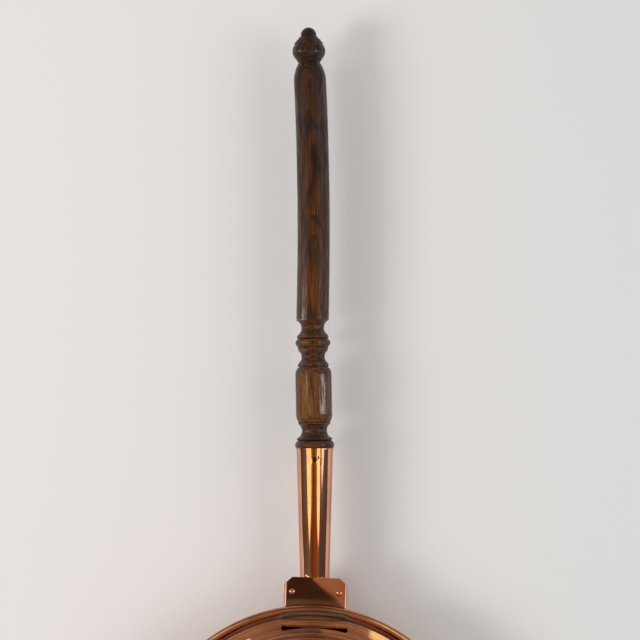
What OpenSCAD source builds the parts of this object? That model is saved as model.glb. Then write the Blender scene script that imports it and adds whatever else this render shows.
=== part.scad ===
// Bed warming pan: a shallow copper pan with a hinged lid and a long turned wooden handle.
// It lies flat: +Z is up through the lid, the base is on Z = 0 and the handle runs along +Y.

/* [Pan] */
// Diameter over the rolled rim
pan_d = 300; // [280:1:320]
// Height from the base to the top of the rim
pan_h = 60; // [52:1:80]
// Thickness of the pan's sheet
pan_t = 1; // [0.8:0.1:1.3]
// Lean of the wall out from upright, in degrees
wall_flare = 10; // [5:1:14]
// Inside radius of the turn from the base to the wall
corner_r = 22; // [12:1:26]
// Diameter of the rolled bead that makes the rim
bead_d = 6.4; // [5.6:0.1:7.4]

/* [Lid] */
// How far the lid's edge lies inside the rim's outer edge
lid_inset = 10.1; // [9.6:0.1:11.6]
// Thickness of the lid's sheet
lid_t = 0.8; // [0.6:0.1:1]
// Thickness of the round hem at the lid's edge
hem_d = 2; // [1.8:0.1:2.4]
// Width of the lid's flat border
border_w = 8.2; // [7:0.1:9]
// Rise of the lid from its border to its flat
lid_rise = 1.2; // [0.6:0.1:3]
// Distance of the outer ridge's crest from the lid's edge
ridge_inset = 16.4; // [15:0.1:20]
// Width of each raised ridge
ridge_w = 4; // [3.4:0.1:5]
// Width of the flat between the outer ridge and the crown's ridge
flat_w = 19; // [14:1:30]
// Rise of the crown over the flat
crown_h = 9; // [5:0.5:16]
// Radius of the innermost ridge, on the crown
inner_ridge_r = 46; // [36:1:56]
// Diameter of the vent holes
vent_d = 4; // [3:0.5:6]
// Number of vent holes in the outer ring, with half as many in the inner one
vent_n = 16; // [8:2:24]
// Radius of the outer ring of vents
vent_ring_r = 74; // [66:1:88]
// Gap between the lid's hem and its seat
seat_gap = 0.3; // [0.2:0.05:0.5]

/* [Hinge] */
// Width of the hinge strap
strap_w = 57.3; // [44:0.1:60]
// Thickness of the strap's sheet
strap_t = 0.9; // [0.7:0.1:1.1]
// Outer radius of the strap's curl, which is the knuckle
knuckle_r = 5.4; // [5.2:0.1:5.8]
// Distance of the hinge line from the lid's edge, at the middle
hinge_inset = 4.4; // [4.2:0.1:4.8]
// Height of the hinge line over the middle of the lid's sheet
hinge_rise = 0.9; // [0.6:0.1:1.2]
// Width of the lid's strip between the hinge line and the slot
strip_in = 3.4; // [3:0.1:3.6]
// Gap between the lid and the strap that holds it
hinge_gap = 0.3; // [0.25:0.05:0.4]
// Length of the lid's slot past each end of the strap
slot_side = 0.5; // [0.3:0.1:1]
// Rounding of the slot's inner corners
slot_round = 1.5; // [1:0.1:2]
// Height of the strap's lower end over the base
tail_z = 26; // [22:1:30]

/* [Socket] */
// Width of the socket bracket
bracket_w = 56; // [52:1:60]
// Thickness of the bracket's sheet
bracket_t = 1.2; // [0.9:0.1:1.5]
// How far the bracket's plate reaches past the rim
plate_reach = 23.8; // [21:0.1:30]
// Width cut off each corner of the plate
clip_w = 7; // [3:0.5:9]
// Length cut off each corner of the plate
clip_l = 6.2; // [3:0.1:8]
// Depth of the bracket's cheeks
cheek_h = 27; // [20:1:32]
// Gap between the plate and the rim's bead
plate_gap = 0.4; // [0.2:0.1:1]
// Distance between the plate's two rivets
rivet_span = 42; // [38:0.5:44]
// Distance of the plate's rivets from its outer edge
rivet_in = 13; // [11:0.5:14]
// Diameter of the rivets' shanks
rivet_d = 3; // [2.5:0.1:3.4]
// Diameter of the rivets' heads
rivet_head_d = 5.6; // [4.4:0.1:6.4]
// Length of the saddle along the handle
saddle_l = 14; // [10:1:16]
// Width of each foot of the saddle
saddle_foot_w = 10.5; // [9:0.1:11]

/* [Ferrule] */
// Length of the ferrule that shows past the plate
ferrule_show = 114.1; // [90:0.1:140]
// Outer radius of the ferrule at its mouth
mouth_r = 16.35; // [15:0.05:17.5]
// Outer radius of the ferrule where it goes under the plate
plate_end_r = 13.1; // [12.4:0.1:13.6]
// Thickness of the ferrule's sheet
ferrule_t = 1; // [0.7:0.1:1.3]
// Distance of the nail from the mouth
nail_in = 9.9; // [7:0.1:16]
// Diameter of the nail's head
nail_head_d = 4.7; // [4:0.1:5.5]
// Diameter of the nail's shank
nail_d = 2.2; // [1.8:0.1:2.6]
// Length of the nail's shank
nail_l = 11; // [8:0.5:13]

/* [Handle] */
// Lean of the ferrule to the left of the pan's middle line, in degrees
handle_lean = 2.15; // [0:0.05:3]
// Lean of the baluster to the left of the ferrule, in degrees
baluster_lean = 1; // [0:0.1:2]
// Lean of the grip's ends' line to the left of the ferrule, in degrees
grip_lean = 0.6; // [0:0.1:1.5]
// Lean of the finial to the left of the ferrule, in degrees
finial_lean = 1.3; // [0:0.1:2.5]
// Length of the tenon inside the ferrule
tenon_l = 60; // [30:1:80]
// Radius of the barrel of the baluster
barrel_r = 16.25; // [15:0.05:18]
// Length of the barrel
barrel_l = 48.6; // [35:0.1:70]
// Radius of the grip
grip_r = 14.6; // [13:0.05:16]
// Length of the bowed stretch of the grip
grip_l = 215.6; // [150:0.1:260]
// Depth of the grip's bow at its middle
grip_bow = 2; // [1:0.1:4]
// Length of the grip's rounded shoulder
shoulder_l = 16.5; // [12:0.5:20]
// Radius of the neck between grip and finial
neck_r = 9.9; // [8.5:0.1:11]
// Radius of the finial's ball
ball_r = 14.9; // [13:0.1:16]
// Diameter of the steel studs that join the sections
stud_d = 6; // [5:0.5:8]
// Length of each stud
stud_l = 40; // [28:1:50]

/* [Hidden] */
$fn = 96;

copper = "#b8704c";
copper_dark = "#9a5a3c";
oak = "#5b2c16";
steel = "#8a8c8e";
iron = "#3c3a3a";

// Play that lets one rigid piece slide into another
fit = 0.05;
// Extra length that takes a cutting shape clear through what it cuts
past = 1;
root2 = sqrt(2);

// Rim, seat and wall of the pan, as (radius, height)
rim_r = pan_d / 2;
bead_r = bead_d / 2;
bead_c = [rim_r - bead_r, pan_h - bead_r];
seat_k = bead_c[0] - bead_c[1] - root2 * bead_r;
lid_r = rim_r - lid_inset;
seat_band = 1.4;
seat_foot = [lid_r - seat_band, lid_r - seat_band - seat_k];
flare_tan = tan(wall_flare);
corner_c = [
    seat_foot[0] + ((pan_t + corner_r - seat_foot[1]) * sin(wall_flare) - corner_r) / cos(wall_flare),
    pan_t + corner_r
];

// Radius of the wall's inner face, moved out by o, at height z
function wall_r(z, o = 0) = seat_foot[0] - (seat_foot[1] - z) * flare_tan + o / cos(wall_flare);

// Height where the wall, moved out by o, turns into the seat
function turn_z(o) = (wall_r(0, o) - seat_k - root2 * o) / (1 - flare_tan);

// Radius of the 45 degree seat, moved out by o, at height z
function seat_r(z, o = 0) = z + seat_k + root2 * o;

// Lid and hinge heights
hem_r = hem_d / 2;
hem_z = lid_r - hem_r - seat_k + root2 * (hem_r + seat_gap);
lid_top = hem_z + hem_r;
hinge_y = lid_r - hinge_inset;
hinge_z = lid_top - lid_t / 2 + hinge_rise;
edge_trim = 0.7;
knuckle_edge_r = hinge_y + knuckle_r - edge_trim;
curl_end = 1.6;
under_curl_z = hinge_z - knuckle_r - past;
slot_inner_r = hinge_y - knuckle_r - 2 * hinge_gap;
slot_half = strap_w / 2 + slot_side;
strip_end_gap = 1.6 * hinge_gap;
border_r = lid_r - border_w;
ridge_r = lid_r - ridge_inset;
crown_r = ridge_r - flat_w;

// Bracket, saddle and handle line
plate_top = pan_h - bead_d - plate_gap;
plate_y = rim_r + plate_reach;
plate_under = plate_top - bracket_t;
handle_z = plate_under - plate_end_r - fit;
wall_y = wall_r(handle_z, pan_t);
plate_s = (plate_y - wall_y) / cos(handle_lean);
mouth_s = plate_s + ferrule_show;
taper = (mouth_r - plate_end_r) / ferrule_show;
ferrule_back = 12;
lip_l = 1.2;
lip_h = 0.35;
nail_head_h = 1.3;
rivet_y = plate_y - rivet_in;
bend_r = 2;
ear_in = plate_end_r + 2.6;
rivet_head_h = 1.5;
rivet_tail_h = 1.1;
rivet_tail_d = rivet_d + 1.4;
rove_t = 0.8;
rove_d = rivet_d + 4;
// A flat rove stands off the strap's curve by this much at its middle
rove_lift = rove_d * rove_d / 8 / (wall_r(tail_z) - strap_t);
wall_rivet_x = (ear_in + bracket_w / 2 - bracket_t) / 2;
wall_rivet_z = [plate_under - 6.5, plate_under - 20];

// Handle, measured from the ferrule's mouth
foot_l = 23.6;
neck_l = 43.1;
baluster_l = foot_l + barrel_l + neck_l;
bow_r = (grip_l * grip_l / 4 + grip_bow * grip_bow) / (2 * grip_bow);
bow_a = 2 * asin(grip_l / 2 / bow_r);
shoulder_r = (pow(shoulder_l, 2) + pow(grip_r - neck_r, 2)) / (2 * (grip_r - neck_r));

// Outer radius of the ferrule at distance s along it
function ferrule_r(s) = plate_end_r + (s - plate_s) * taper;

// ---- places ----

// Ferrule's line: +Z runs out along the handle from the pan's wall, and -Y is up
module at_ferrule(s = 0)
    translate([0, wall_y, handle_z])
        rotate([0, 0, handle_lean])
            rotate([-90, 0, 0])
                translate([0, 0, s])
                    children();

// Baluster's line, h up from the mouth
module at_baluster(h = 0)
    at_ferrule(mouth_s)
        rotate([0, -baluster_lean, 0])
            translate([0, 0, h])
                children();

// A point on the grip's bowed line, a degrees along its arc
module at_grip(a = 0)
    at_baluster(baluster_l)
        rotate([0, baluster_lean - grip_lean + bow_a / 2, 0])
            translate([-bow_r, 0, 0])
                rotate([0, -a, 0])
                    translate([bow_r, 0, 0])
                        children();

// Finial's line, from the top of the grip's shoulder
module at_finial(h = 0)
    at_grip(bow_a)
        translate([0, 0, shoulder_l])
            rotate([0, grip_lean + bow_a / 2 - finial_lean, 0])
                translate([0, 0, h])
                    children();

// A point on the pan's wall: +Z points out of the sheet, from its inner face
module on_wall(x, z)
    rotate([0, 0, -asin(x / wall_r(z))])
        translate([0, wall_r(z), z])
            rotate([-90 - wall_flare, 0, 0])
                children();

// ---- shared forms ----

// Everything inside the pan's inner face moved out by o, from z0 up to z1
module wall_form(o, z0, z1)
    rotate_extrude()
        polygon([
            [0, z0], [wall_r(z0, o), z0], [seat_r(turn_z(o), o), turn_z(o)],
            [seat_r(z1, o), z1], [0, z1]
        ]);

// Flat outline drawn as (y, z), made w wide about the middle line
module across(w)
    translate([-w / 2, 0, 0])
        rotate([90, 0, 90])
            linear_extrude(w)
                children();

// Part of a circle that lies above the line at height h, for rounded heads
module cap_outline(r, h)
    intersection() {
        translate([0, h - (r * r - h * h) / (2 * h)])
            circle((r * r + h * h) / (2 * h));
        square([r, h]);
    }

// Rivet through a stack g thick, with its made head up and its closed head below
module rivet(g)
    rotate_extrude() {
        square([rivet_d / 2, g]);
        translate([0, g]) cap_outline(rivet_head_d / 2, rivet_head_h);
        mirror([0, 1]) cap_outline(rivet_tail_d / 2, rivet_tail_h);
    }

// Hole for a rivet, through anything within l of the origin
module rivet_hole(l)
    cylinder(h = 2 * l, d = rivet_d + 2 * fit, center = true);

// Copies the child to the places of the wall's four rivets
module at_wall_rivets()
    for (side = [-1, 1], z = wall_rivet_z)
        on_wall(side * wall_rivet_x, z)
            children();

// Copies the child to the places of the plate's two rivets
module at_plate_rivets()
    for (side = [-1, 1])
        translate([side * rivet_span / 2, rivet_y, plate_top])
            children();

// ---- pan ----

module pan_outline() {
    far = 2 * (corner_r + pan_t);
    top_turn = [-1, 1] / root2;
    lap = [-sin(35), cos(35)];
    out = [cos(wall_flare), -sin(wall_flare)];
    square([corner_c[0], pan_t]);
    translate(corner_c)
        intersection() {
            difference() {
                circle(corner_r + pan_t);
                circle(corner_r);
            }
            polygon([[0, 0], [0, -far], [far, -far], far * out]);
        }
    polygon([
        corner_c + corner_r * out, corner_c + (corner_r + pan_t) * out,
        [seat_r(turn_z(pan_t), pan_t), turn_z(pan_t)],
        bead_c + (bead_r - pan_t) * top_turn, bead_c + (bead_r - pan_t) * lap,
        bead_c + bead_r * lap, bead_c + bead_r * top_turn, seat_foot
    ]);
    translate(bead_c)
        difference() {
            circle(bead_r);
            circle(bead_r - pan_t);
            polygon([[0, 0], far * top_turn, [-far, 0], [-far * cos(30), -far * sin(30)]]);
        }
}

module pan_body()
    color(copper)
        difference() {
            rotate_extrude() pan_outline();
            at_wall_rivets() rivet_hole(3 * pan_t);
        }

module rim_wire()
    color(steel)
        rotate_extrude()
            translate(bead_c)
                circle(bead_r - pan_t - fit);

// ---- lid ----

// Ridge pressed up out of sheet t thick, about its crest line
module ridge_outline()
    intersection() {
        difference() {
            circle(ridge_w / 2);
            circle(ridge_w / 2 - lid_t);
        }
        translate([-ridge_w, 0]) square([2 * ridge_w, ridge_w]);
    }

module lid_outline() {
    flat_z = lid_top + lid_rise - lid_t;
    half = ridge_w / 2;
    crown_arc = (crown_r * crown_r + crown_h * crown_h) / (2 * crown_h);
    crown_low = flat_z + crown_h - crown_arc;
    translate([lid_r - hem_r, hem_z]) circle(hem_r);
    translate([border_r, lid_top - lid_t]) square([border_w - hem_r, lid_t]);
    polygon([
        [border_r, lid_top - lid_t], [border_r, lid_top],
        [ridge_r + half - lid_t, flat_z + lid_t], [ridge_r + half - lid_t, flat_z]
    ]);
    translate([ridge_r, flat_z]) ridge_outline();
    translate([crown_r, flat_z]) square([ridge_r - half + lid_t - crown_r, lid_t]);
    translate([crown_r, flat_z + lid_t / 2]) ridge_outline();
    intersection() {
        translate([0, crown_low])
            difference() {
                circle(crown_arc + lid_t);
                circle(crown_arc);
            }
        translate([0, flat_z]) square([crown_r - half + lid_t, crown_h + 2 * lid_t]);
    }
    translate([inner_ridge_r, crown_low + sqrt(pow(crown_arc, 2) - pow(inner_ridge_r, 2))])
        ridge_outline();
}

// Ring of n vents at radius r
module vents(n, r)
    for (i = [0:n - 1])
        rotate([0, 0, (i + 0.5) * 360 / n])
            translate([0, r, lid_top])
                cylinder(h = 4 * crown_h, d = vent_d, center = true);

// Metal that rounds off the slot's inner corner on the right
module slot_corner() {
    c = [slot_half - slot_round, sqrt(pow(slot_inner_r + slot_round, 2) - pow(slot_half - slot_round, 2))];
    difference() {
        polygon([
            c, [slot_half + past, c[1]], [slot_half + past, c[1] - 3 * slot_round],
            c * (1 - 3 * slot_round / slot_inner_r)
        ]);
        translate(c) circle(slot_round);
    }
}

// Room in the lid for the strap: the slot, and the edge that is cut back inside the curl
module hinge_cut() {
    strip_out_r = knuckle_edge_r - strap_t - strip_end_gap;
    slot_y = hinge_y - strip_in;
    translate([0, 0, lid_top])
        linear_extrude(6 * lid_t, center = true) {
            difference() {
                translate([-slot_half, slot_y - 3 * knuckle_r]) square([2 * slot_half, 3 * knuckle_r]);
                circle(slot_inner_r);
                slot_corner();
                mirror([1, 0]) slot_corner();
            }
            difference() {
                translate([-slot_half, slot_y]) square([2 * slot_half, lid_r]);
                circle(strip_out_r);
            }
        }
    // The hem stops short of the curl, so that the strip inside it is plain sheet
    across(2 * slot_half)
        translate([slot_y, lid_top - lid_t - 3 * hem_d])
            square([lid_r, 3 * hem_d]);
}

module lid()
    color(copper)
        difference() {
            rotate_extrude() lid_outline();
            hinge_cut();
            vents(vent_n, vent_ring_r);
            vents(vent_n / 2, inner_ridge_r / 2);
        }

// ---- hinge ----

// Block w wide from the curl out to the wall, o inside the wall's face.
// It is open toward the pan's middle, and there it reaches clear further than it otherwise would.
module strap_form(w, o, r, clear)
    intersection() {
        across(w) {
            translate([hinge_y, hinge_z]) circle(r);
            translate([hinge_y - curl_end - clear, tail_z - clear])
                square([4 * knuckle_r, hinge_z - tail_z + clear]);
            translate([hinge_y - 4 * knuckle_r - clear, tail_z - clear])
                square([4 * knuckle_r, under_curl_z - tail_z + 2 * clear]);
        }
        wall_form(-o, tail_z - past, hinge_z + 2 * knuckle_r);
        cylinder(h = 3 * pan_h, r = knuckle_edge_r - o);
    }

module hinge_strap()
    color(copper_dark)
        difference() {
            strap_form(strap_w, 0, knuckle_r, 0);
            strap_form(strap_w + 2 * past, strap_t, knuckle_r - strap_t, past / 2);
            at_wall_rivets() rivet_hole(3 * pan_t);
        }

module wall_rivets()
    color(copper_dark)
        at_wall_rivets()
            translate([0, 0, -strap_t - rove_lift - rove_t])
                rivet(strap_t + rove_lift + rove_t + pan_t + bracket_t + fit);

module wall_roves()
    color(copper)
        at_wall_rivets()
            translate([0, 0, -strap_t - rove_lift - rove_t])
                difference() {
                    cylinder(h = rove_t, d = rove_d);
                    rivet_hole(2 * rove_t);
                }

// ---- socket ----

// Bracket's section, drawn as (x, z) below the plate's top
module bracket_section()
    difference() {
        bracket_solid_section(bracket_w / 2, bend_r, cheek_h);
        bracket_solid_section(bracket_w / 2 - bracket_t, bend_r - bracket_t, cheek_h + past, bracket_t);
    }

// Block half_w to each side with rounded upper corners, its top d below the line
module bracket_solid_section(half_w, r, h, d = 0)
    for (side = [0, 1])
        mirror([side, 0]) {
            translate([0, -h]) square([half_w, h - d - r]);
            translate([0, -h]) square([half_w - r, h - d]);
            translate([half_w - r, -d - r]) circle(r);
        }

module socket_bracket()
    color(copper)
        difference() {
            union() {
                translate([0, plate_y, plate_top])
                    rotate([90, 0, 0])
                        linear_extrude(plate_y - wall_y + 2 * corner_r)
                            bracket_section();
                // Ears turned in against the wall, one behind each cheek
                for (side = [0, 1])
                    mirror([side, 0, 0])
                        intersection() {
                            wall_form(pan_t + fit + bracket_t, 0, plate_top);
                            translate([ear_in, wall_y / 2, plate_top - cheek_h])
                                cube([bracket_w / 2 - bracket_t / 2 - ear_in, wall_y, cheek_h - bracket_t / 2]);
                        }
            }
            wall_form(pan_t + fit, -past, plate_top + past);
            // Clipped corners
            for (side = [0, 1])
                mirror([side, 0, 0])
                    translate([bracket_w / 2, plate_y, plate_top - cheek_h - past])
                        linear_extrude(cheek_h + 2 * past)
                            polygon([
                                [-clip_w - clip_w / clip_l, 1], [clip_w / clip_l, 1],
                                [clip_w / clip_l, -clip_l - 1]
                            ]);
            at_plate_rivets() rivet_hole(2 * bracket_t);
            at_wall_rivets() rivet_hole(3 * pan_t + bracket_t);
        }

// U under the ferrule with a foot to each side, clamped up to the plate
module ferrule_saddle() {
    hug = 0.3;
    inside = ferrule_r((rivet_y - wall_y) / cos(handle_lean)) - hug;
    outside = inside + hug + bracket_t;
    depth = plate_under - handle_z;
    foot_end = outside + saddle_foot_w - hug;
    color(copper_dark)
        difference() {
            translate([0, rivet_y + saddle_l / 2, handle_z])
                rotate([90, 0, 0])
                    linear_extrude(saddle_l)
                        difference() {
                            union() {
                                circle(outside);
                                translate([-outside, 0]) square([2 * outside, depth]);
                                translate([-foot_end, depth - bracket_t]) square([2 * foot_end, bracket_t]);
                            }
                            circle(inside);
                            translate([-inside, 0]) square([2 * inside, depth + past]);
                        }
            at_ferrule() ferrule_blank(fit);
            // Room for the ferrule to drop in past the straight sides
            at_ferrule()
                translate([0, -depth, 0])
                    intersection() {
                        ferrule_blank(fit);
                        translate([-pan_d, -pan_d, 0]) cube([2 * pan_d, pan_d, pan_d]);
                    }
            at_plate_rivets() rivet_hole(4 * bracket_t);
        }
}

module saddle_rivets()
    color(copper_dark)
        at_plate_rivets()
            translate([0, 0, -2 * bracket_t])
                rivet(2 * bracket_t);

// ---- ferrule ----

// Cone of the ferrule's outside moved out by o, from behind the wall to the mouth
module ferrule_blank(o)
    translate([0, 0, -ferrule_back])
        cylinder(h = mouth_s + ferrule_back, r1 = ferrule_r(-ferrule_back) + o, r2 = mouth_r + o);

// Nail's hole, or the nail's shank where play is 0
module nail_shank(play, l)
    at_ferrule(mouth_s - nail_in)
        translate([0, -ferrule_r(mouth_s - nail_in), 0])
            rotate([-90, 0, 0])
                translate([0, 0, -past])
                    cylinder(h = l + past, d = nail_d + 2 * play);

module ferrule()
    color(copper)
        difference() {
            at_ferrule() {
                ferrule_blank(0);
                // Lip turned over at the mouth
                translate([0, 0, mouth_s - lip_l]) cylinder(h = lip_l, r = mouth_r + lip_h);
            }
            at_ferrule() ferrule_bore();
            wall_form(pan_t + fit, -past, plate_top);
            nail_shank(fit, 3 * ferrule_t);
        }

// Bore of the ferrule, open at both ends
module ferrule_bore() {
    back = ferrule_back + past;
    translate([0, 0, -back])
        cylinder(
            h = mouth_s + back + past,
            r1 = ferrule_r(-back) - ferrule_t, r2 = ferrule_r(mouth_s + past) - ferrule_t
        );
}

module ferrule_nail()
    color(iron) {
        nail_shank(0, nail_l);
        at_ferrule(mouth_s - nail_in)
            translate([0, -ferrule_r(mouth_s - nail_in) - fit, 0])
                rotate([90, 0, 0])
                    rotate_extrude()
                        cap_outline(nail_head_d / 2, nail_head_h);
    }

// ---- turned handle ----

// Turned outline: a core of radius r over length l, plus beads and less coves.
// Each one is [place as a share of the length, radius at its crest or throat, radius of its arc].
module turning(r, l, beads, coves)
    difference() {
        union() {
            square([r, l]);
            for (b = beads)
                translate([b[1] - b[2], b[0] * l]) circle(b[2]);
        }
        for (c = coves)
            translate([c[1] + c[2], c[0] * l]) circle(c[2]);
    }

// Beads and cove between the ferrule's mouth and the barrel
module foot_outline()
    turning(
        mouth_r - 2.45, foot_l,
        [[0.123, mouth_r + 1.2, 4.4], [0.366, mouth_r - 0.5, 2.2], [0.939, mouth_r - 1.8, 1.6]],
        [[0.67, mouth_r - 5.13, 7.2]]
    );

// Barrel with its two rounded ends
module barrel_outline() {
    low = 6.8;
    low_arc = 13.6;
    high = 6.2;
    high_arc = 9.5;
    square([barrel_r - high_arc, barrel_l]);
    intersection() {
        square([barrel_r, barrel_l]);
        union() {
            translate([0, low]) square([barrel_r, barrel_l - low - high]);
            translate([barrel_r - low_arc, low]) circle(low_arc);
            translate([barrel_r - high_arc, barrel_l - high]) circle(high_arc);
        }
    }
}

// Beads and coves between the barrel and the grip, the last one flared to the grip at the seam
module neck_outline() {
    flare = [0.826, grip_r - 4.45, 7.4];
    turning(
        grip_r - 1.45, neck_l,
        [
            [0.05, grip_r - 0.67, 2.1], [0.405, grip_r - 0.83, 1.8], [0.513, grip_r + 1.08, 4.1],
            [0.638, grip_r - 0.4, 2.3]
        ],
        [[0.225, grip_r - 4.23, 6.6], flare]
    );
    translate([0, flare[0] * neck_l])
        difference() {
            square([grip_r, (1 - flare[0]) * neck_l]);
            translate([flare[1] + flare[2], 0]) circle(flare[2]);
        }
}

module baluster_outline() {
    translate([0, -past]) square([mouth_r - 0.6, 2 * past]);
    foot_outline();
    translate([0, foot_l]) barrel_outline();
    translate([0, foot_l + barrel_l]) neck_outline();
}

// Everything past the plane of a seam, about a section of radius r
module beyond(r)
    cylinder(h = 3 * r, r = 3 * r);

// Everything short of the plane of a seam
module before(r)
    translate([0, 0, -3 * r]) cylinder(h = 3 * r, r = 3 * r);

// Steel stud across a seam, or its hole where play is more than 0
module stud(play)
    cylinder(h = stud_l + 2 * play, d = stud_d + 2 * play, center = true);

module handle_baluster()
    color(oak)
        difference() {
            union() {
                difference() {
                    at_baluster() rotate_extrude() baluster_outline();
                    at_ferrule(mouth_s) before(mouth_r);
                }
                at_ferrule(mouth_s) tenon();
            }
            at_baluster(baluster_l) stud(fit);
            nail_shank(fit, nail_l + fit);
        }

// Tapered tenon that fills the ferrule's mouth
module tenon()
    translate([0, 0, -tenon_l])
        cylinder(
            h = tenon_l,
            r1 = ferrule_r(mouth_s - tenon_l) - ferrule_t - fit, r2 = mouth_r - ferrule_t - fit
        );

module grip_stud()
    color(steel) at_baluster(baluster_l) stud(0);

module handle_grip()
    color(oak)
        difference() {
            union() {
                at_grip()
                    translate([-bow_r, 0, 0])
                        rotate([90, 0, 0])
                            rotate_extrude(angle = bow_a, $fn = 360)
                                translate([bow_r, 0]) circle(grip_r);
                at_grip(bow_a) rotate_extrude() shoulder_outline();
            }
            at_baluster(baluster_l) before(grip_r);
            at_finial() beyond(grip_r);
            at_baluster(baluster_l) stud(fit);
            at_finial() stud(fit);
        }

// Rounded shoulder, from the grip's radius in to the neck, with a stub that laps into the grip
module shoulder_outline()
    intersection() {
        translate([0, -past]) square([grip_r - fit, shoulder_l + 2 * past]);
        translate([grip_r - shoulder_r, 0]) circle(shoulder_r, $fn = 360);
    }

module finial_stud()
    color(steel) at_finial() stud(0);

// Ball on a neck, three stepped rings and a knob
module finial_outline() {
    ball_h = 10.9;
    ball_arc = 9.5;
    rings = [[17.7, ball_r - 1.9], [20.1, ball_r - 3.7], [22.4, ball_r - 5.8]];
    ring_arc = 1.35;
    knob = 7.15;
    knob_h = 25.5;
    polygon([
        [0, 0], [neck_r - 0.2, 0], [neck_r, 0.6], [ball_r - 2.3, ball_h - 6.1],
        [ball_r - 2.3, ball_h + 5.6], [0, ball_h + 5.6]
    ]);
    translate([ball_r - ball_arc, ball_h]) circle(ball_arc);
    for (ring = rings) {
        translate([ring[1] - ring_arc, ring[0]]) circle(ring_arc);
        translate([0, ring[0] - ring_arc]) square([ring[1] - ring_arc, 2 * ring_arc]);
    }
    translate([0, ball_h]) square([knob, knob_h - ball_h]);
    translate([0, knob_h]) circle(knob);
}

module handle_finial()
    color(oak)
        difference() {
            at_finial()
                rotate_extrude()
                    intersection() {
                        finial_outline();
                        square([2 * ball_r, 4 * ball_r]);
                    }
            at_finial() stud(fit);
        }

pan_body();
rim_wire();
lid();
hinge_strap();
wall_rivets();
wall_roves();
socket_bracket();
ferrule_saddle();
saddle_rivets();
ferrule();
ferrule_nail();
handle_baluster();
grip_stud();
handle_grip();
finial_stud();
handle_finial();
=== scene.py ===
import math

import bpy
from mathutils import Matrix, Vector


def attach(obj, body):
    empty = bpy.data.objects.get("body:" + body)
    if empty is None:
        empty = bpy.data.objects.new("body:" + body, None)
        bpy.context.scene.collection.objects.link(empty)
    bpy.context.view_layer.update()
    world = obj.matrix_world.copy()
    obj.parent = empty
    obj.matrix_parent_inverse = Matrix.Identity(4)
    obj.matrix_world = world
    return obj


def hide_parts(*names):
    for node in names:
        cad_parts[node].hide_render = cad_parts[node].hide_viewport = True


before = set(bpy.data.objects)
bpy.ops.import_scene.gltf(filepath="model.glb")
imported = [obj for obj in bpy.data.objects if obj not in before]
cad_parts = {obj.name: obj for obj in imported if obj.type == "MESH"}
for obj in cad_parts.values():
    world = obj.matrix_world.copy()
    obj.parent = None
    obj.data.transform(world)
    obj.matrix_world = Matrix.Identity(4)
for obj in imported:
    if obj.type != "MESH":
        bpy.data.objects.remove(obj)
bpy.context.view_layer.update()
mm = 0.001
print("frame loaded:", len(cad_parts), "CAD nodes")


# Adds a shader node; an input is either a value or the socket that feeds it
def newNode(tree, kind, inputs=None, **options):
    node = tree.nodes.new("ShaderNode" + kind)
    for name, value in options.items():
        setattr(node, name, value)
    for key, value in (inputs or {}).items():
        if isinstance(value, bpy.types.NodeSocket):
            tree.links.new(value, node.inputs[key])
        else:
            node.inputs[key].default_value = value
    return node


def calc(tree, operation, a, b=0.0, c=0.0):
    node = newNode(tree, "Math", {0: a, 1: b, 2: c}, operation=operation)
    return node.outputs[0]


def blendColour(tree, amount, a, b):
    node = newNode(tree, "Mix", {0: amount, 6: a, 7: b}, data_type="RGBA")
    return node.outputs[2]


# Grey noise; stretch is how fine it is along x, y and z
def grain(tree, place, stretch, scale=1.0, detail=3.0, rough=0.5):
    moved = newNode(tree, "Mapping", {"Vector": place, "Scale": stretch})
    noise = newNode(tree, "TexNoise", {
        "Vector": moved.outputs[0], "Scale": scale, "Detail": detail, "Roughness": rough,
    })
    return noise.outputs["Fac"]


# Runs smoothly from newLow to newHigh while value goes from low to high
def spread(tree, value, low, high, newLow=0.0, newHigh=1.0):
    node = newNode(tree, "MapRange", {
        "Value": value, "From Min": low, "From Max": high, "To Min": newLow, "To Max": newHigh,
    }, interpolation_type="SMOOTHSTEP")
    return node.outputs[0]


# Colour ramp from (position, colour) stops
def ramped(tree, value, stops):
    node = newNode(tree, "ValToRGB", {"Fac": value})
    elements = node.color_ramp.elements
    elements.remove(elements[1])
    for i, (at, colour) in enumerate(stops):
        stop = elements[0] if i == 0 else elements.new(at)
        stop.position = at
        stop.color = (*colour[:3], 1)
    return node.outputs[0]


def newMaterial(name, sockets):
    material = bpy.data.materials.new(name)
    material.use_nodes = True
    tree = material.node_tree
    shader = tree.nodes["Principled BSDF"]
    for key, value in sockets.items():
        shader.inputs[key].default_value = value
    return material, tree, shader


# Joins sources to the shader's inputs; an underscore in a name stands for a space
def feed(tree, shader, **sources):
    for key, value in sources.items():
        tree.links.new(value, shader.inputs[key.replace("_", " ")])


copperLook = {
    "clean": (0.82, 0.42, 0.27, 1),
    "aged": (0.60, 0.27, 0.16, 1),
    "roughness": 0.045,
    "smudge": 0.05,      # extra roughness where hands have dulled it
    "wave": 0.000008,    # depth of the sheet's slow unevenness, in metres
    "scratch": 0.0000004,  # depth of the fine scratches, in metres
    "rings": 420,        # how fine the spinning rings are
    "shadeReach": 0.010,    # reach of the grime and painted shade from an inner corner, in metres
    # colour of the grime and painted shade in gaps and inner corners
    "grimeAndShade": (0.115, 0.078, 0.052, 1),
    "edge": (0.85, 0.80, 0.75, 1),  # reflection at a glancing angle
}
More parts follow.
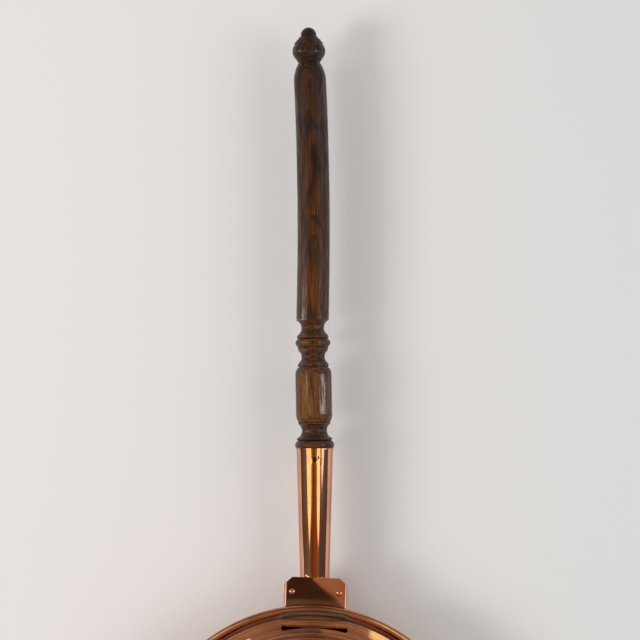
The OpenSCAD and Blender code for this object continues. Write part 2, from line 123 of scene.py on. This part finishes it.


# Fine rings left by spinning, and grime with painted shade where the sheet folds close on itself
def spunAndShadedColour(tree, place, colour, look, spun):
    flat = newNode(tree, "VectorMath", {0: place, 1: (1, 1, 0)}, operation="MULTIPLY").outputs[0]
    radius = newNode(tree, "VectorMath", {0: flat}, operation="LENGTH").outputs["Value"]
    around = newNode(tree, "CombineXYZ", {0: radius, 1: calc(tree, "MULTIPLY", radius, 0.5)}).outputs[0]
    rings = grain(tree, around, (1, 1, 1), look["rings"], 3, 0.7)
    shade = spread(tree, rings, 0.36, 0.64, 1.0 - spun, 1.0 + spun)
    ringed = newNode(tree, "VectorMath", {0: colour, "Scale": shade}, operation="SCALE").outputs[0]
    # painted shade: ambient occlusion turns the colour grime-brown in gaps and inner corners
    clear = newNode(tree, "AmbientOcclusion", {"Distance": look["shadeReach"]}, samples=8).outputs["AO"]
    clear = spread(tree, clear, 0.35, 0.8)
    return blendColour(tree, clear, look["grimeAndShade"], ringed), clear


# age is how dark the tarnish is, dull scales the roughness and spun is the strength of the rings; a spun
# sheet also gets grime and painted shade in its inner corners.
# tip leans the shading of upward faces along y, so that they mirror a part of the dome of their own.
def copperMaterial(name, look, age=0.35, tip=0.0, dull=1.0, spun=0.0):
    material, tree, shader = newMaterial(name, {"Metallic": 1.0, "Specular Tint": look["edge"]})
    spot = newNode(tree, "TexCoord")
    place = spot.outputs["Object"]
    upward = newNode(tree, "SeparateXYZ", {0: spot.outputs["Normal"]}).outputs[2]
    cloud = grain(tree, place, (1, 1, 1), 28, 5, 0.6)
    speck = grain(tree, place, (1, 1, 1), 420, 2, 0.6)
    aged = calc(tree, "MULTIPLY_ADD", spread(tree, cloud, 0.38, 0.72), 0.8, age - 0.3)
    aged = calc(tree, "ADD", aged, spread(tree, speck, 0.62, 0.78, 0, 0.35))
    aged = newNode(tree, "Clamp", {"Value": aged}).outputs[0]
    colour = blendColour(tree, aged, look["clean"], look["aged"])
    rough = calc(tree, "MULTIPLY_ADD", aged, look["smudge"] * dull, look["roughness"] * dull)
    if spun:
        colour, clear = spunAndShadedColour(tree, place, colour, look, spun)
        # the painted shade's occlusion mask also makes those corners rough and not metallic
        rough = calc(tree, "MAXIMUM", rough, calc(tree, "MULTIPLY_ADD", clear, -0.7, 0.7))
        feed(tree, shader, Metallic=clear)
    wave = grain(tree, place, (1, 1, 1), 38, 1, 0.4)
    line = grain(tree, place, (2600, 120, 2600), 1, 2, 0.6)
    y = newNode(tree, "SeparateXYZ", {0: place}).outputs[1]
    tipped = newNode(tree, "Bump", {
        "Height": y, "Distance": tip, "Strength": spread(tree, upward, 0.55, 0.9),
    })
    waved = newNode(tree, "Bump", {
        "Height": wave, "Distance": look["wave"], "Strength": 1.0, "Normal": tipped.outputs[0],
    })
    lined = newNode(tree, "Bump", {
        "Height": line, "Distance": look["scratch"], "Strength": 1.0, "Normal": waved.outputs[0],
    })
    feed(tree, shader, Base_Color=colour, Roughness=rough, Normal=lined.outputs[0])
    return material


copper = copperMaterial("polishedCopper", copperLook)
darkCopper = copperMaterial("agedCopper", copperLook, age=0.8)
plateCopper = copperMaterial("plateCopper", copperLook, tip=0.05, dull=0.4)
sheetCopper = copperMaterial("sheetCopper", copperLook, age=0.5, tip=0.21, dull=0.5, spun=0.35)
hammeredCopper = copperMaterial("hammeredCopper", dict(copperLook, wave=0.00008), age=0.5)


steelLook = {
    "light": (0.5, 0.5, 0.5, 1), "dark": (0.3, 0.29, 0.28, 1), "roughness": 0.3,
    "dent": 0.00001,     # depth of the surface's dents, in metres
}
ironLook = {
    "light": (0.10, 0.085, 0.075, 1), "dark": (0.03, 0.025, 0.022, 1), "roughness": 0.38,
    "dent": 0.00008,
}


def metalMaterial(name, look):
    material, tree, shader = newMaterial(name, {"Metallic": 1.0})
    place = newNode(tree, "TexCoord").outputs["Object"]
    patch = grain(tree, place, (1, 1, 1), 600, 4, 0.6)
    colour = blendColour(tree, spread(tree, patch, 0.35, 0.65), look["dark"], look["light"])
    dents = newNode(tree, "Bump", {"Height": patch, "Distance": look["dent"], "Strength": 1.0})
    dull = spread(tree, patch, 0.3, 0.7, look["roughness"] + 0.15, look["roughness"])
    feed(tree, shader, Base_Color=colour, Roughness=dull, Normal=dents.outputs[0])
    return material


steel = metalMaterial("drawnSteel", steelLook)
blackIron = metalMaterial("blackIron", ironLook)


oakLook = {
    "amber": (0.155, 0.048, 0.003, 1),
    "brown": (0.050, 0.0150, 0.003, 1),
    "dark": (0.014, 0.0042, 0.0024, 1),
    "ring": 2.7,         # spacing of the growth rings, in mm
    "roughness": 0.5,
    "coatRoughness": 0.07,
    "pore": 0.00005,     # depth of the open pores under the varnish
    "sideShade": 0.55,        # painted shade: how much darker the sides and underside are painted than the top
    "grooveShade": 0.004,     # reach of the painted shade and dark wax in the turned grooves, in metres
}


# For each turned piece, start is its near end in mm and lean its angle. pith is where the tree's
# middle runs, as (x, z) in mm from the piece's line, and tilt how it slants. tones are (y, darkness)
# stops along the piece, in mm.
balusterLook = {
    "start": (-5.7, 288.5, 38.85), "lean": 3.15, "pith": (-1, -20), "tilt": (0.01, 0.03),
    "tones": [(0, 0.75), (20, 0.65), (27, 0.25), (60, 0.2), (70, 0.35), (92, 0.4), (115, 0.3)],
}
gripLook = {
    "start": (-12.1, 404.5, 38.85), "lean": 2.75, "pith": (3, -14), "tilt": (-0.01, 0.04),
    "tones": [(0, 0.62), (50, 0.54), (110, 0.56), (160, 0.72), (200, 0.88), (232, 0.95)],
}
finialLook = {
    "start": (-23.7, 635.0, 38.85), "lean": 3.45, "pith": (2, -10), "tilt": (0.03, 0.05),
    "tones": [(0, 0.95), (33, 0.85)],
}


def oakMaterial(name, look, piece):
    start = [c * mm for c in piece["start"]]
    pith, tilt, tones = piece["pith"], piece["tilt"], piece["tones"]
    material, tree, shader = newMaterial(name, {
        "Coat Weight": 0.9, "Coat Roughness": look["coatRoughness"], "Coat IOR": 1.5,
        "Roughness": look["roughness"], "Specular IOR Level": 0.15,
    })
    place = newNode(tree, "TexCoord").outputs["Object"]
    shifted = newNode(tree, "VectorMath", {0: place, 1: start}, operation="SUBTRACT").outputs[0]
    turned = newNode(tree, "Mapping", {"Vector": shifted, "Rotation": (0, 0, -math.radians(piece["lean"]))})
    local = turned.outputs[0]
    x, y, z = newNode(tree, "SeparateXYZ", {0: local}).outputs
    # Growth rings round a wavy pith
    swayX = calc(tree, "MULTIPLY_ADD", grain(tree, local, (30, 9, 30), 1, 3, 0.5), 0.009, -0.0045)
    swayZ = calc(tree, "MULTIPLY_ADD", grain(tree, local, (40, 22, 40), 1, 2, 0.5), 0.006, -0.003)
    px = calc(tree, "MULTIPLY_ADD", y, tilt[0], pith[0] * mm)
    pz = calc(tree, "MULTIPLY_ADD", y, tilt[1], pith[1] * mm)
    dx = calc(tree, "ADD", calc(tree, "SUBTRACT", x, px), swayX)
    dz = calc(tree, "ADD", calc(tree, "SUBTRACT", z, pz), swayZ)
    far = calc(tree, "MULTIPLY_ADD", dx, dx, calc(tree, "MULTIPLY", dz, dz))
    far = calc(tree, "SQRT", far)
    phase = calc(tree, "FRACT", calc(tree, "DIVIDE", far, look["ring"] * mm))
    early = calc(tree, "MAXIMUM", spread(tree, phase, 0.05, 0.42, 1.0, 0.0), spread(tree, phase, 0.86, 1.0))
    # Fine streaks, and pores that lie mostly in the open part of each ring
    streak = grain(tree, local, (1100, 26, 1100), 1, 3, 0.65)
    pore = grain(tree, local, (1700, 75, 1700), 1, 2, 0.6)
    openGrain = calc(tree, "MULTIPLY_ADD", early, 0.7, 0.3)
    poreMask = calc(tree, "MULTIPLY", spread(tree, pore, 0.50, 0.60), openGrain)
    cloud = grain(tree, local, (46, 11, 46), 1, 2)
    # Darkness: along the piece, in streaks and rings, painted shade toward the sides and underside, and
    # painted shade with dark wax in the grooves
    length = tones[-1][0]
    along = calc(tree, "DIVIDE", y, length * mm)
    dark = ramped(tree, along, [(at / length, (tone,) * 3) for at, tone in tones])
    fine = calc(tree, "MULTIPLY", spread(tree, streak, 0.38, 0.62), 0.48)
    tone = calc(tree, "MULTIPLY_ADD", early, 0.28, fine)
    tone = calc(tree, "ADD", tone, calc(tree, "MULTIPLY_ADD", cloud, 0.8, -0.4))
    # painted shade: darker from the top down round the sides, as if lit from above
    tone = calc(tree, "ADD", tone, calc(tree, "MULTIPLY_ADD", z, -look["sideShade"] / 0.015, look["sideShade"]))
    tone = calc(tree, "ADD", tone, calc(tree, "SUBTRACT", dark, 0.5))
    # painted shade with dark wax: ambient occlusion darkens the turned grooves
    clear = newNode(tree, "AmbientOcclusion", {"Distance": look["grooveShade"]}, samples=8).outputs["AO"]
    tone = calc(tree, "ADD", tone, spread(tree, clear, 0.35, 0.85, 0.8, 0.0))
    tone = newNode(tree, "Clamp", {"Value": tone}).outputs[0]
    toned = ramped(tree, tone, [(0.0, look["amber"]), (0.5, look["brown"]), (1.0, look["dark"])])
    colour = blendColour(tree, calc(tree, "MULTIPLY", poreMask, 0.8), toned, look["dark"])
    pits = newNode(tree, "Bump", {
        "Height": calc(tree, "MULTIPLY", poreMask, -1.0), "Distance": look["pore"], "Strength": 1.0,
    })
    # The varnish has sunk in places, which breaks up its gloss
    broken = spread(tree, grain(tree, local, (1250, 45, 1250), 1, 2, 0.6), 0.42, 0.56)
    gloss = calc(tree, "MULTIPLY_ADD", broken, -0.85, 0.98)
    pitted = pits.outputs[0]
    feed(tree, shader, Base_Color=colour, Normal=pitted, Coat_Normal=pitted, Coat_Weight=gloss)
    return material


balusterOak = oakMaterial("balusterOak", oakLook, balusterLook)
gripOak = oakMaterial("gripOak", dict(oakLook, ring=1.9), gripLook)
finialOak = oakMaterial("finialOak", oakLook, finialLook)


def dress(node, material):
    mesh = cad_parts[node].data
    mesh.materials.clear()
    mesh.materials.append(material)


for node in ("pan_body", "lid", "hinge_strap"):
    dress(node, sheetCopper)
dress("socket_bracket", plateCopper)
dress("ferrule", copper)
for node in ("ferrule_saddle", "wall_rivets", "wall_roves"):
    dress(node, darkCopper)
for node in ("rim_wire", "grip_stud", "finial_stud"):
    dress(node, steel)
dress("handle_baluster", balusterOak)
dress("handle_grip", gripOak)
dress("handle_finial", finialOak)
print("materials on")


bevelLook = {"socket_bracket": 0.3, "ferrule": 0.2}  # width in mm

# Softened edges that catch the light
for node, width in bevelLook.items():
    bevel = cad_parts[node].modifiers.new("softEdge", "BEVEL")
    bevel.width = width * mm
    bevel.segments = 2
    bevel.limit_method = "ANGLE"
    bevel.angle_limit = math.radians(40)
    bevel.harden_normals = True


def addMesh(name, points, faces, material):
    mesh = bpy.data.meshes.new(name)
    mesh.from_pydata(points, [], faces)
    mesh.update()
    piece = bpy.data.objects.new(name, mesh)
    bpy.context.scene.collection.objects.link(piece)
    mesh.materials.append(material)
    return piece


# Turned piece about an upright line at place; outline is (radius, height) in mm from pole to pole
def turnedPiece(name, outline, place, material, steps=48):
    px, py, pz = place
    top, *rings, bottom = outline
    points = [(px * mm, py * mm, (pz + top[1]) * mm)]
    for r, h in rings:
        turns = (2 * math.pi * j / steps for j in range(steps))
        points += [((px + r * math.cos(a)) * mm, (py + r * math.sin(a)) * mm, (pz + h) * mm) for a in turns]
    points.append((px * mm, py * mm, (pz + bottom[1]) * mm))
    last = len(points) - 1
    faces = [(0, 1 + j, 1 + (j + 1) % steps) for j in range(steps)]
    for i in range(len(rings) - 1):
        a, b = 1 + i * steps, 1 + (i + 1) * steps
        faces += [(a + j, b + j, b + (j + 1) % steps, a + (j + 1) % steps) for j in range(steps)]
    a = last - steps
    faces += [(last, a + (j + 1) % steps, a + j) for j in range(steps)]
    piece = addMesh(name, points, faces, material)
    piece.data.shade_smooth()
    piece.data.set_sharp_from_angle(angle=math.radians(50))
    return piece


# Rounded cap of radius r and height h, from its pole down to its edge
def capOutline(r, h, steps=8):
    ball = (r * r + h * h) / (2 * h)
    edge = math.asin(r / ball)
    arc = (edge * i / steps for i in range(steps + 1))
    return [(ball * math.sin(a), h - ball * (1 - math.cos(a))) for a in arc]


rivetLook = {
    "x": 21, "y": 160.8, "top": 53.2,    # place of the head's flat side, in mm
    "head": (2.7, 1.45), "tail": (2.15, 1.05), "shank": 1.5, "grip": 2.4,
}
nailLook = {
    "place": (-5.29, 277.93, 54.85),
    "head": (2.3, 1.35), "shank": 1.05, "length": 10.8,
}


def addRivet(name, x, look):
    tail = [(r, -look["grip"] - h) for r, h in reversed(capOutline(*look["tail"]))]
    outline = capOutline(*look["head"]) + [(look["shank"], 0), (look["shank"], -look["grip"])] + tail
    piece = turnedPiece(name, outline, (x, look["y"], look["top"]), hammeredCopper)
    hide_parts("saddle_rivets")
    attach(piece, "pan")


def addNail(look):
    shank, length = look["shank"], look["length"]
    outline = capOutline(*look["head"]) + [(shank, 0), (shank, -length), (0, -length)]
    piece = turnedPiece("roundNail", outline, look["place"], blackIron)
    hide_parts("ferrule_nail")
    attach(piece, "pan")


addRivet("rivetLeft", -rivetLook["x"], rivetLook)
addRivet("rivetRight", rivetLook["x"], rivetLook)
addNail(nailLook)
print("small work on")


studioLook = {
    # painted light: the floor is tinted warm where the key lamp falls at -X and cooler at +X
    "floor": (0.77, 0.735, 0.715, 1),
    "floorFillSideTint": (0.75, 0.745, 0.735, 1),
    "floorSize": 12.0,
    "ambient": (0.50, 0.50, 0.505, 1),
    "background": (0.86, 0.85, 0.84, 1),
}

# The dark dome that only polished surfaces see. Its colours run over the angle from straight up
# toward +X, and change along +Y from the sheet's part to the ferrule's mouth.
domeLook = {
    "size": (1.7, 2.3, 1.7),     # half width, half length and height
    "middle": (0.0, 0.30, 0.0),
    "span": (-96, 90),           # degrees
    "cardSize": 0.9,             # size of the cards' own dome, as a share of this one
    "slant": -0.04,              # how the mouth's border slants
    # stretches of y over which one zone turns into the next
    "borders": {"mouth": (0.04, 0.13), "sheet": (-0.16, -0.13), "wood": (0.335, 0.365), "far": (0.65, 0.95)},
    "wood": (0.055, 0.040, 0.025),
    "tones": {
        "cool": (0.16, 0.16, 0.18), "shade": (0.10, 0.08, 0.08), "olive": (0.19, 0.17, 0.09),
        "brown": (0.11, 0.05, 0.02), "red": (0.28, 0.08, 0.03), "gold": (0.40, 0.27, 0.09),
        "tan": (0.33, 0.24, 0.16), "dusk": (0.18, 0.13, 0.10), "grey": (0.30, 0.30, 0.30),
        "pale": (0.42, 0.42, 0.42),
    },
    "mouth": [(-90, "shade"), (-70, "cool"), (-55, "olive"), (-20, "gold"), (-5, "brown"),
              (10, "gold"), (50, "cool"), (85, "shade")],
    "root": [(-85, "shade"), (-40, "olive"), (-20, "brown"), (0, "red"), (15, "red"),
             (25, "olive"), (40, "shade"), (80, "shade")],
    "sheet": [(-85, "dusk"), (-10, "tan"), (-3, "tan"), (0, "dusk"), (3, "tan"), (40, "tan"), (85, "dusk")],
    "far": [(-60, "grey"), (-25, "pale"), (-5, "dusk"), (5, "dusk"), (25, "pale"), (60, "grey")],
}


def emitter(name, colour, strength):
    material = bpy.data.materials.new(name)
    material.use_nodes = True
    tree = material.node_tree
    tree.nodes.clear()
    glow = newNode(tree, "Emission", {"Color": (*colour, 1), "Strength": strength})
    out = newNode(tree, "OutputMaterial")
    tree.links.new(glow.outputs[0], out.inputs["Surface"])
    return material, tree, glow


# What only polished surfaces see: it lights nothing and throws no shadow
def onlyInGloss(piece):
    piece.visible_camera = False
    piece.visible_diffuse = False
    piece.visible_shadow = False
    piece.visible_transmission = False


def addFloor(look):
    half = look["floorSize"] / 2
    material, tree, shader = newMaterial("paleFloor", {"Roughness": 0.9, "Specular IOR Level": 0.1})
    place = newNode(tree, "TexCoord").outputs["Object"]
    x = newNode(tree, "SeparateXYZ", {0: place}).outputs[0]
    # painted light: the floor's tint runs from the key lamp's warm side to the cooler side
    side = spread(tree, x, -0.2, 0.3)
    colour = blendColour(tree, side, look["floor"], look["floorFillSideTint"])
    feed(tree, shader, Base_Color=colour)
    floor = addMesh("floor", [(-half, -half, 0), (half, -half, 0), (half, half, 0), (-half, half, 0)],
                    [(0, 1, 2, 3)], material)


def addWorld(look):
    world = bpy.data.worlds.new("studioAir")
    bpy.context.scene.world = world
    world.use_nodes = True
    tree = world.node_tree
    sky = tree.nodes["Background"]
    path = newNode(tree, "LightPath")
    seen = calc(tree, "MAXIMUM", path.outputs["Is Camera Ray"], path.outputs["Is Glossy Ray"])
    seen = calc(tree, "MAXIMUM", seen, path.outputs["Is Transmission Ray"])
    colour = blendColour(tree, seen, look["ambient"], look["background"])
    tree.links.new(colour, sky.inputs["Color"])


# Point on the dome, or on a smaller one inside it: angle is from straight up, toward +X
def domePoint(angle, y, size=1.0):
    wide, long, high = (size * d for d in domeLook["size"])
    mx, my, mz = domeLook["middle"]
    shrink = math.sqrt(max(0.0, 1 - ((y - my) / long) ** 2))
    turn = math.radians(angle)
    return (mx + wide * shrink * math.sin(turn), y, mz + high * shrink * math.cos(turn))


# Faces of a grid of points, rows one after another
def gridFaces(rows, steps):
    corners = [i * (steps + 1) + j for i in range(rows) for j in range(steps)]
    return [(a, a + 1, a + steps + 2, a + steps + 1) for a in corners]


def addDome(look):
    rings, steps = 40, 36
    my = look["middle"][1]
    long = look["size"][1]
    points = []
    for i in range(rings + 1):
        y = my - long * math.cos(math.pi * i / rings)
        points += [domePoint(-90 + 180 * j / steps, y) for j in range(steps + 1)]
    material, tree, glow = emitter("darkDome", look["tones"]["shade"], 1.0)
    place = newNode(tree, "TexCoord").outputs["Object"]
    x, y, z = newNode(tree, "SeparateXYZ", {0: place}).outputs
    low, high = look["span"]
    angle = calc(tree, "ARCTAN2", x, z)
    across = newNode(tree, "MapRange", {
        "Value": angle, "From Min": math.radians(low), "From Max": math.radians(high),
    }).outputs[0]
    mouth, root, sheet, far = (
        ramped(tree, across, [((a - low) / (high - low), look["tones"][tone]) for a, tone in look[part]])
        for part in ("mouth", "root", "sheet", "far"))
    borders = look["borders"]
    along = calc(tree, "MULTIPLY_ADD", x, look["slant"], y)
    colour = blendColour(tree, spread(tree, along, *borders["mouth"]), root, mouth)
    colour = blendColour(tree, spread(tree, y, *borders["sheet"]), sheet, colour)
    colour = blendColour(tree, spread(tree, y, *borders["wood"]), colour, (*look["wood"], 1))
    colour = blendColour(tree, spread(tree, y, *borders["far"]), colour, far)
    tree.links.new(colour, glow.inputs["Color"])
    onlyInGloss(addMesh("darkDome", points, gridFaces(rings, steps), material))


# Rows of a card that runs between two angles
def strip(near, far, *places):
    return [(y, near, y, far) for y in places]


goldLight = (1.0, 0.80, 0.40)
paleLight = (0.95, 0.92, 1.0)
creamLight = (0.82, 1.0, 1.0)

# Rows are (y, angle) for the left end and (y, angle) for the right end, in metres and degrees.
# fade is the stretch of y over which a card dims, and what is left of its strength.
cardLook = {
    "goldLeft": {"colour": goldLight, "strength": 2.1, "rows": [
        (0.010, -38.1, 0.010, -37.4), (0.031, -42.7, 0.038, -31.2), (0.060, -48.6, 0.075, -24.3),
        (0.092, -49.8, 0.108, -22.2), (0.147, -52.3, 0.164, -22.3), (0.34, -54, 0.34, -22),
    ]},
    "goldRight": {"colour": goldLight, "strength": 2.1, "rows": [
        (0.067, 25.6, 0.068, 26.3), (0.084, 18.8, 0.097, 31.7), (0.113, 15.8, 0.130, 33.0),
        (0.143, 14.2, 0.164, 34.9), (0.199, 14.9, 0.219, 33.8), (0.34, 15, 0.34, 34),
    ]},
    "whiteRight": {"colour": (1.0, 0.90, 0.85), "strength": 1.8, "rows": [
        (0.183, 45.6, 0.185, 48.5), (0.202, 44.3, 0.212, 54.5), (0.228, 43, 0.244, 59.6),
        (0.34, 42, 0.34, 62),
    ]},
    "paleLeft": {
        "colour": paleLight, "strength": 9.0, "fade": (0.40, 0.53, 0.5),
        "rows": strip(-88, -44, 0.345, 0.60, 1.2),
    },
    "paleRight": {
        "colour": paleLight, "strength": 9.0, "fade": (0.40, 0.53, 0.5),
        "rows": strip(36, 80, 0.345, 0.60, 1.2),
    },
    "creamLeft": {"colour": creamLight, "strength": 1.4, "rows": strip(-85, -12, -0.18, -0.06)},
    "creamRight": {"colour": creamLight, "strength": 1.4, "rows": strip(12, 85, -0.18, -0.06)},
    "plateDark": {"colour": (0.05, 0.03, 0.02), "strength": 1.0, "rows": [
        (-0.107, -1.75, -0.107, 1.35), (-0.100, -1.75, -0.100, 1.1),
        (-0.088, -1.75, -0.088, 0.45), (-0.075, -1.75, -0.075, -0.15), (-0.04, -1.75, -0.04, -0.15),
    ]},
    "plateLow": {"colour": (0.13, 0.10, 0.08), "strength": 1.0, "rows": [
        (-0.122, -1.75, -0.122, 1.9), (-0.107, -1.75, -0.107, 1.35),
    ]},
    "plateLeft": {"colour": (0.18, 0.12, 0.09), "strength": 1.0, "rows": strip(-9, -1.75, -0.122, -0.04)},
    "plateRight": {"colour": (0.38, 0.23, 0.14), "strength": 1.0, "rows": [
        (-0.122, 1.9, -0.122, 9), (-0.107, 1.35, -0.107, 9), (-0.100, 1.1, -0.100, 9),
        (-0.088, 0.45, -0.088, 9), (-0.075, -0.15, -0.075, 9), (-0.04, -0.15, -0.04, 9),
    ]},
    "sheetGold": {"colour": (0.93, 1.0, 0.54), "strength": 1.4, "rows": strip(3.8, 14, -0.85, -0.50)},
}


# Bright or dark card inside the dome
def addCard(name, look):
    steps = 10
    points = []
    for yA, angleA, yB, angleB in look["rows"]:
        for j in range(steps + 1):
            t = j / steps
            points.append(domePoint(angleA + (angleB - angleA) * t, yA + (yB - yA) * t, domeLook["cardSize"]))
    material, tree, glow = emitter(name, look["colour"], look["strength"])
    if "fade" in look:
        near, far, left = look["fade"]
        place = newNode(tree, "TexCoord").outputs["Object"]
        y = newNode(tree, "SeparateXYZ", {0: place}).outputs[1]
        tree.links.new(spread(tree, y, near, far, look["strength"], left), glow.inputs["Strength"])
    onlyInGloss(addMesh(name, points, gridFaces(len(look["rows"]) - 1, steps), material))


skirtLook = {
    "colour": (0.090, 0.070, 0.075),
    "corners": {
        "skirtLeft": [
            (-0.26, 0.32), (-0.26, 0.20), (-0.30, 0.18), (-0.39, 0.15), (-1.2, 0.02), (-1.7, 0.0),
            (-1.7, 2.6), (-0.26, 2.6),
        ],
        "skirtRight": [
            (0.8, 0.28), (0.57, 0.24), (0.57, 0.21), (0.93, 0.17), (1.44, 0.12), (1.7, 0.1),
            (1.7, 2.6), (0.8, 2.6),
        ],
    },
}


# Dark sheet just over the floor, which keeps the floor's white out of the ferrule's sides
def addSkirt(name, corners, colour):
    material = emitter(name, colour, 1.0)[0]
    points = [(x, y, mm) for x, y in corners]
    onlyInGloss(addMesh(name, points, [tuple(range(len(points)))], material))


lampLook = {
    "keyLamp": {
        "place": (-2.4, -0.3, 1.75), "aim": (0, 0.2, 0), "size": (1.0, 1.0), "power": 46,
        "colour": (1.0, 0.97, 0.94),
    },
    "fillLamp": {
        "place": (2.2, 0.3, 1.8), "aim": (0, 0.3, 0), "size": (1.6, 1.6), "power": 20,
        "colour": (1.0, 0.98, 0.96),
    },
    "topLamp": {
        "place": (-0.7, 0.9, 1.1), "aim": (0, 0.55, 0), "size": (0.5, 0.5), "power": 2,
        "colour": (1.0, 0.98, 0.96),
    },
}


def addLamp(name, look):
    data = bpy.data.lights.new(name, "AREA")
    data.shape = "RECTANGLE"
    data.size, data.size_y = look["size"]
    data.energy = look["power"]
    data.color = look["colour"]
    lamp = bpy.data.objects.new(name, data)
    bpy.context.scene.collection.objects.link(lamp)
    lamp.location = look["place"]
    lamp.rotation_euler = (Vector(look["aim"]) - Vector(look["place"])).to_track_quat("-Z", "Y").to_euler()
    lamp.visible_glossy = False
    lamp.visible_camera = False


addFloor(studioLook)
addWorld(studioLook)
addDome(domeLook)
for name, card in cardLook.items():
    addCard(name, card)
for name, corners in skirtLook["corners"].items():
    addSkirt(name, corners, skirtLook["colour"])
for name, lamp in lampLook.items():
    addLamp(name, lamp)
print("studio up")


cameraLook = {
    "place": (-1.4, 300, 1900),  # mm
    "lens": 116.8,
    "tilt": 3.166,               # degrees toward the finial
    "roll": 2.145,
}


def addCamera(look):
    roll = math.radians(look["roll"])
    tilt = math.radians(look["tilt"])
    side = Vector((math.cos(roll), math.sin(roll), 0))
    along = Vector((-math.sin(roll), math.cos(roll), 0))
    up = along * math.cos(tilt) + Vector((0, 0, math.sin(tilt)))
    turn = Matrix((side, up, side.cross(up))).transposed().to_4x4()
    data = bpy.data.cameras.new("camera")
    data.lens = look["lens"]
    data.clip_end = 50
    camera = bpy.data.objects.new("camera", data)
    bpy.context.scene.collection.objects.link(camera)
    camera.matrix_world = Matrix.Translation(Vector(look["place"]) * mm) @ turn
    bpy.context.scene.camera = camera


addCamera(cameraLook)
bpy.context.scene.view_settings.view_transform = "Standard"
print("camera set")
